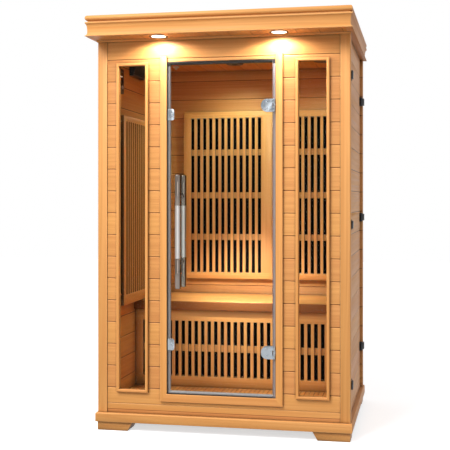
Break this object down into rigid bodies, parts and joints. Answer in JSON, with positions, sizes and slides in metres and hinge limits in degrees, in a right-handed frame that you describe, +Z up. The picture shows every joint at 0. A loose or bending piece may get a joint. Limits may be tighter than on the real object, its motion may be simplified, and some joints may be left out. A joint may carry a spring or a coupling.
{
  "type": "infrared sauna cabin",
  "caption": "Free-standing boarded timber sauna cabin with a frameless glass door, narrow side windows, slatted heater grilles, a bench and a moulded roof.",
  "frame": {"origin": "on the floor under the middle of the roof", "axes": "+Z up, door faces -Y, +X to the right when facing the door"},
  "size_m": [1.208, 1.05, 1.907],
  "materials": {
    "hemlock": "oiled satin",
    "hemlock_light": "oiled satin",
    "clear_glass": "polished",
    "gasket": "matte",
    "chrome": "polished",
    "black_metal": "satin",
    "heater": "matte",
    "black_plastic": "satin",
    "key": "satin",
    "lens": "frosted"
  },
  "bodies": {
    "cabin": {"foot_front_right": "hemlock", "foot_front_left": "hemlock", "foot_back_right": "hemlock", "foot_back_left": "hemlock", "plinth_frame": "hemlock", "floor_panel": "hemlock", "post_front_right": "hemlock", "post_front_left": "hemlock", "wall_front": "hemlock", "wall_right": "hemlock", "wall_left": "hemlock", "wall_back": "hemlock", "roof_cornice": "hemlock", "roof_panel": "hemlock", "roof_cover": "hemlock", "back_grille_left": "hemlock", "back_grille_right": "hemlock", "side_grille_right": "hemlock", "side_grille_left": "hemlock", "calf_grille": "hemlock", "bench_seat": "hemlock", "door_casing": "hemlock_light", "window_trim_right": "hemlock_light", "window_trim_left": "hemlock_light", "window_pane_right": "clear_glass", "window_pane_left": "clear_glass", "door_gasket": "gasket", "hinge_leaf_lower": "chrome", "hinge_leaf_upper": "chrome", "back_heater": "heater", "side_heater_right": "heater", "side_heater_left": "heater", "calf_heater": "heater", "control_panel": "black_plastic", "speaker": "black_plastic", "ceiling_light_middle": "black_plastic", "ceiling_light_right": "black_plastic", "downlight_right": "lens", "downlight_left": "lens"},
    "door": {"door_glass": "clear_glass", "door_hinge_lower": "chrome", "door_hinge_upper": "chrome", "door_catch_lower": "chrome", "door_catch_upper": "chrome", "door_handle": "chrome"},
    "clasp_right_front_lower": {"clasp_right_front_lower": "black_metal"},
    "clasp_right_front_middle": {"clasp_right_front_middle": "black_metal"},
    "clasp_right_front_upper": {"clasp_right_front_upper": "black_metal"},
    "clasp_right_back_lower": {"clasp_right_back_lower": "black_metal"},
    "clasp_right_back_middle": {"clasp_right_back_middle": "black_metal"},
    "clasp_right_back_upper": {"clasp_right_back_upper": "black_metal"},
    "clasp_left_front_lower": {"clasp_left_front_lower": "black_metal"},
    "clasp_left_front_middle": {"clasp_left_front_middle": "black_metal"},
    "clasp_left_front_upper": {"clasp_left_front_upper": "black_metal"},
    "clasp_left_back_lower": {"clasp_left_back_lower": "black_metal"},
    "clasp_left_back_middle": {"clasp_left_back_middle": "black_metal"},
    "clasp_left_back_upper": {"clasp_left_back_upper": "black_metal"},
    "button_down": {"button_down": "key"},
    "button_power": {"button_power": "key"},
    "button_up": {"button_up": "key"}
  },
  "joints": [
    {"name": "door_swing", "type": "hinge", "parent": "cabin", "child": "door", "pos_m": [0.246, -0.404, 0.941], "axis": [0, 0, 1], "range_deg": [0, 110]},
    {"name": "clasp_right_front_lower_swing", "type": "hinge", "parent": "cabin", "child": "clasp_right_front_lower", "pos_m": [0.58, -0.318, 0.243], "axis": [0, 0, 1], "range_deg": [0, 100]},
    {"name": "clasp_right_front_middle_swing", "type": "hinge", "parent": "cabin", "child": "clasp_right_front_middle", "pos_m": [0.58, -0.318, 0.959], "axis": [0, 0, 1], "range_deg": [0, 100]},
    {"name": "clasp_right_front_upper_swing", "type": "hinge", "parent": "cabin", "child": "clasp_right_front_upper", "pos_m": [0.58, -0.318, 1.628], "axis": [0, 0, 1], "range_deg": [0, 100]},
    {"name": "clasp_right_back_lower_swing", "type": "hinge", "parent": "cabin", "child": "clasp_right_back_lower", "pos_m": [0.58, 0.433, 0.3], "axis": [0, 0, -1], "range_deg": [0, 100]},
    {"name": "clasp_right_back_middle_swing", "type": "hinge", "parent": "cabin", "child": "clasp_right_back_middle", "pos_m": [0.58, 0.433, 0.979], "axis": [0, 0, -1], "range_deg": [0, 100]},
    {"name": "clasp_right_back_upper_swing", "type": "hinge", "parent": "cabin", "child": "clasp_right_back_upper", "pos_m": [0.58, 0.433, 1.587], "axis": [0, 0, -1], "range_deg": [0, 100]},
    {"name": "clasp_left_front_lower_swing", "type": "hinge", "parent": "cabin", "child": "clasp_left_front_lower", "pos_m": [-0.58, -0.318, 0.243], "axis": [0, 0, -1], "range_deg": [0, 100]},
    {"name": "clasp_left_front_middle_swing", "type": "hinge", "parent": "cabin", "child": "clasp_left_front_middle", "pos_m": [-0.58, -0.318, 0.959], "axis": [0, 0, -1], "range_deg": [0, 100]},
    {"name": "clasp_left_front_upper_swing", "type": "hinge", "parent": "cabin", "child": "clasp_left_front_upper", "pos_m": [-0.58, -0.318, 1.628], "axis": [0, 0, -1], "range_deg": [0, 100]},
    {"name": "clasp_left_back_lower_swing", "type": "hinge", "parent": "cabin", "child": "clasp_left_back_lower", "pos_m": [-0.58, 0.433, 0.3], "axis": [0, 0, 1], "range_deg": [0, 100]},
    {"name": "clasp_left_back_middle_swing", "type": "hinge", "parent": "cabin", "child": "clasp_left_back_middle", "pos_m": [-0.58, 0.433, 0.979], "axis": [0, 0, 1], "range_deg": [0, 100]},
    {"name": "clasp_left_back_upper_swing", "type": "hinge", "parent": "cabin", "child": "clasp_left_back_upper", "pos_m": [-0.58, 0.433, 1.587], "axis": [0, 0, 1], "range_deg": [0, 100]},
    {"name": "button_down_press", "type": "slide", "parent": "cabin", "child": "button_down", "axis": [-1, 0, 0], "range_m": [0, 0.002], "stiffness_N_per_m": 400},
    {"name": "button_power_press", "type": "slide", "parent": "cabin", "child": "button_power", "axis": [-1, 0, 0], "range_m": [0, 0.002], "stiffness_N_per_m": 400},
    {"name": "button_up_press", "type": "slide", "parent": "cabin", "child": "button_up", "axis": [-1, 0, 0], "range_m": [0, 0.002], "stiffness_N_per_m": 400}
  ]
}
